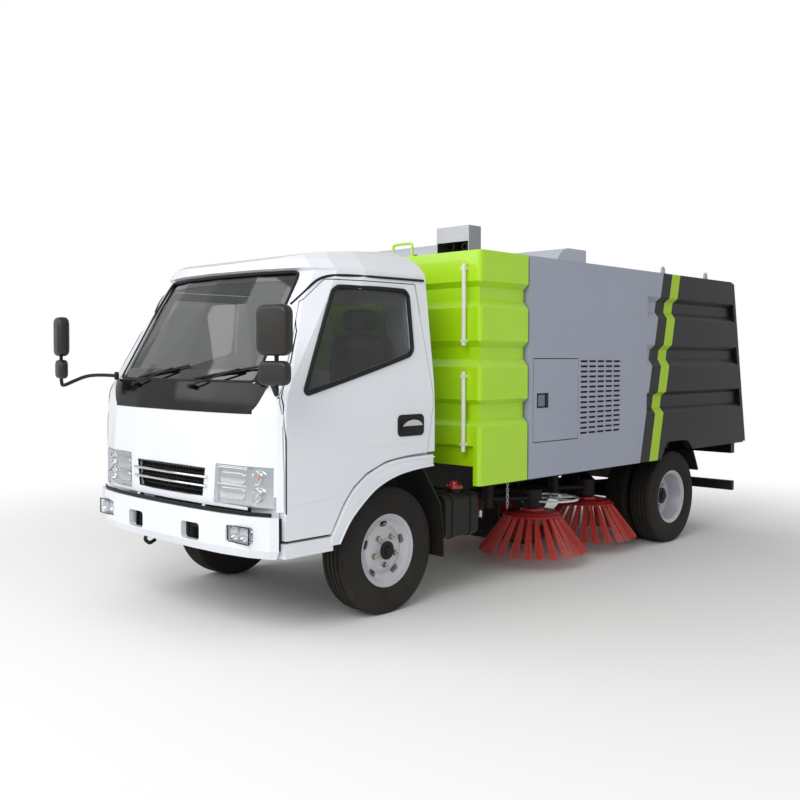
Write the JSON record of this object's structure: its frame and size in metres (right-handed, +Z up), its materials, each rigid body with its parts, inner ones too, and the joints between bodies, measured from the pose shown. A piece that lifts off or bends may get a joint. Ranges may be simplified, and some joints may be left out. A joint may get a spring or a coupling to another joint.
{
  "type": "street sweeper truck",
  "caption": "Light cab-over street sweeper truck with a ribbed water tank, a tipping dust hopper, disc brushes between the axles, a tilting cab and opening doors.",
  "frame": {"origin": "on the ground, at the middle of the overall length and width", "axes": "+Z up, the truck faces -Y, its left side is +X"},
  "size_m": [2.432, 5.736, 2.415],
  "materials": {
    "tyre_rubber": "matt",
    "wheel_silver": "satin",
    "chassis_black": "satin",
    "cab_white": "gloss",
    "tank_lime": "gloss",
    "body_grey": "gloss",
    "hopper_charcoal": "gloss",
    "stainless": "brushed",
    "clear_glass": "clear",
    "gloss_black": "gloss",
    "lamp_clear": "gloss",
    "seat_fabric": "woven",
    "interior_plastic": "matt",
    "red_plastic": "matt",
    "lamp_red": "gloss",
    "gauge_white": "gloss",
    "mirror_black": "matt"
  },
  "bodies": {
    "chassis": {"ladder_frame": "chassis_black", "subframe": "chassis_black", "front_axle": "chassis_black", "rear_axle": "chassis_black", "powertrain": "chassis_black", "front_bumper": "cab_white", "fog_lamps": "lamp_clear", "fuel_tank": "chassis_black", "air_reservoir": "chassis_black", "mudguards": "chassis_black", "underrun_bar": "chassis_black", "water_tank": "tank_lime", "level_gauges": "gauge_white", "intake_cowl": "stainless", "lifting_eyes_front": "tank_lime", "auxiliary_engine": "body_grey", "suction_nozzle": "chassis_black"},
    "cab": {"cab_shell": "cab_white", "cab_glass": "clear_glass", "cowl_panel": "gloss_black", "grille": "gloss_black", "headlamps": "lamp_clear", "mirrors": "mirror_black", "dashboard": "interior_plastic", "seats": "seat_fabric"},
    "cab_door_left": {"door_left": "cab_white", "door_glass_left": "clear_glass"},
    "steering_left": {"knuckle_left": "chassis_black"},
    "front_wheel_left": {"tyre_front_left": "tyre_rubber", "rim_front_left": "wheel_silver"},
    "rear_wheel_left": {"tyres_rear_left": "tyre_rubber", "rim_rear_left": "wheel_silver"},
    "cab_door_right": {"door_right": "cab_white", "door_glass_right": "clear_glass"},
    "steering_right": {"knuckle_right": "chassis_black"},
    "front_wheel_right": {"tyre_front_right": "tyre_rubber", "rim_front_right": "wheel_silver"},
    "rear_wheel_right": {"tyres_rear_right": "tyre_rubber", "rim_rear_right": "wheel_silver"},
    "hopper": {"dust_hopper": "hopper_charcoal", "engine_cover": "body_grey", "roof_hoods": "body_grey", "lifting_eyes_rear": "body_grey", "tail_lamps": "lamp_red"},
    "service_left": {"service_door_left": "body_grey"},
    "service_right": {"service_door_right": "body_grey"},
    "tail": {"tail_door": "hopper_charcoal"},
    "tip_barrel_pair": {"tip_barrels": "chassis_black"},
    "tip_rod_pair": {"tip_rods": "stainless"},
    "sweep_arm_front_left": {"arm_front_left": "chassis_black"},
    "sweep_brush_front_left": {"brush_front_left": "red_plastic"},
    "sweep_arm_front_right": {"arm_front_right": "chassis_black"},
    "sweep_brush_front_right": {"brush_front_right": "red_plastic"},
    "sweep_arm_rear_left": {"arm_rear_left": "chassis_black"},
    "sweep_brush_rear_left": {"brush_rear_left": "red_plastic"},
    "sweep_arm_rear_right": {"arm_rear_right": "chassis_black"},
    "sweep_brush_rear_right": {"brush_rear_right": "red_plastic"}
  },
  "joints": [
    {"name": "cab_tilt", "type": "hinge", "parent": "chassis", "child": "cab", "pos_m": [0, -2.6845, 0.706], "axis": [1, 0, 0], "range_deg": [0, 45]},
    {"name": "hopper_tilt", "type": "hinge", "parent": "chassis", "child": "hopper", "pos_m": [0, 2.6115, 0.8], "axis": [-1, 0, 0], "range_deg": [0, 40]},
    {"name": "tail_door_lift", "type": "hinge", "parent": "hopper", "child": "tail", "pos_m": [0, 2.54868, 2.229], "axis": [1, 0, 0], "range_deg": [0, 80]},
    {"name": "tip_barrel_swing", "type": "hinge", "parent": "chassis", "child": "tip_barrel_pair", "pos_m": [0, 0.8495, 0.7], "axis": [1, 0, 0], "range_deg": [0, 28]},
    {"name": "tip_rod_slide", "type": "slide", "parent": "tip_barrel_pair", "child": "tip_rod_pair", "axis": [0, 0.997, 0.0773], "range_m": [0, 0.46]},
    {"name": "door_left_open", "type": "hinge", "parent": "cab", "child": "cab_door_left", "pos_m": [0.932, -2.5765, 1], "axis": [0, 0, -1], "range_deg": [0, 65]},
    {"name": "steer_left", "type": "hinge", "parent": "chassis", "child": "steering_left", "pos_m": [0.64, -1.7105, 0.383], "axis": [0, 0, 1], "range_deg": [-30, 30]},
    {"name": "front_wheel_left_spin", "type": "hinge", "parent": "steering_left", "child": "front_wheel_left", "pos_m": [0.753, -1.7105, 0.383], "axis": [1, 0, 0], "continuous": true},
    {"name": "rear_wheel_left_spin", "type": "hinge", "parent": "chassis", "child": "rear_wheel_left", "pos_m": [0.733, 1.5975, 0.383], "axis": [1, 0, 0], "continuous": true},
    {"name": "service_left_open", "type": "hinge", "parent": "hopper", "child": "service_left", "pos_m": [1, 0.0745, 1.25], "axis": [0, 0, 1], "range_deg": [0, 100]},
    {"name": "arm_front_left_swing", "type": "hinge", "parent": "chassis", "child": "sweep_arm_front_left", "pos_m": [0.45, -0.2605, 0.5], "axis": [0, 0, -1], "range_deg": [0, 20]},
    {"name": "arm_rear_left_swing", "type": "hinge", "parent": "chassis", "child": "sweep_arm_rear_left", "pos_m": [0.44, 0.5895, 0.5], "axis": [0, 0, -1], "range_deg": [0, 20]},
    {"name": "brush_front_left_spin", "type": "hinge", "parent": "sweep_arm_front_left", "child": "sweep_brush_front_left", "pos_m": [0.6, 0.0845, 0.372], "axis": [0, 0, 1], "continuous": true},
    {"name": "brush_rear_left_spin", "type": "hinge", "parent": "sweep_arm_rear_left", "child": "sweep_brush_rear_left", "pos_m": [0.545, 0.8995, 0.372], "axis": [0, 0, 1], "continuous": true},
    {"name": "door_right_open", "type": "hinge", "parent": "cab", "child": "cab_door_right", "pos_m": [-0.932, -2.5765, 1], "axis": [0, 0, 1], "range_deg": [0, 65]},
    {"name": "steer_right", "type": "hinge", "parent": "chassis", "child": "steering_right", "pos_m": [-0.64, -1.7105, 0.383], "axis": [0, 0, 1], "range_deg": [-30, 30]},
    {"name": "front_wheel_right_spin", "type": "hinge", "parent": "steering_right", "child": "front_wheel_right", "pos_m": [-0.753, -1.7105, 0.383], "axis": [1, 0, 0], "continuous": true},
    {"name": "rear_wheel_right_spin", "type": "hinge", "parent": "chassis", "child": "rear_wheel_right", "pos_m": [-0.733, 1.5975, 0.383], "axis": [1, 0, 0], "continuous": true},
    {"name": "service_right_open", "type": "hinge", "parent": "hopper", "child": "service_right", "pos_m": [-1, 0.0745, 1.25], "axis": [0, 0, -1], "range_deg": [0, 100]},
    {"name": "arm_front_right_swing", "type": "hinge", "parent": "chassis", "child": "sweep_arm_front_right", "pos_m": [-0.45, -0.2605, 0.5], "axis": [0, 0, 1], "range_deg": [0, 20]},
    {"name": "arm_rear_right_swing", "type": "hinge", "parent": "chassis", "child": "sweep_arm_rear_right", "pos_m": [-0.44, 0.5895, 0.5], "axis": [0, 0, 1], "range_deg": [0, 20]},
    {"name": "brush_front_right_spin", "type": "hinge", "parent": "sweep_arm_front_right", "child": "sweep_brush_front_right", "pos_m": [-0.6, 0.0845, 0.372], "axis": [0, 0, 1], "continuous": true},
    {"name": "brush_rear_right_spin", "type": "hinge", "parent": "sweep_arm_rear_right", "child": "sweep_brush_rear_right", "pos_m": [-0.545, 0.8995, 0.372], "axis": [0, 0, 1], "continuous": true}
  ],
  "couplings": [
    {"joint": "tip_barrel_swing", "follows": "hopper_tilt", "ratio": 0.29091},
    {"joint": "tip_rod_slide", "follows": "hopper_tilt", "m_per_rad": 0.23419},
    {"joint": "steer_right", "follows": "steer_left", "ratio": 1},
    {"joint": "arm_rear_left_swing", "follows": "arm_front_left_swing", "ratio": 1},
    {"joint": "arm_rear_right_swing", "follows": "arm_front_right_swing", "ratio": 1}
  ]
}
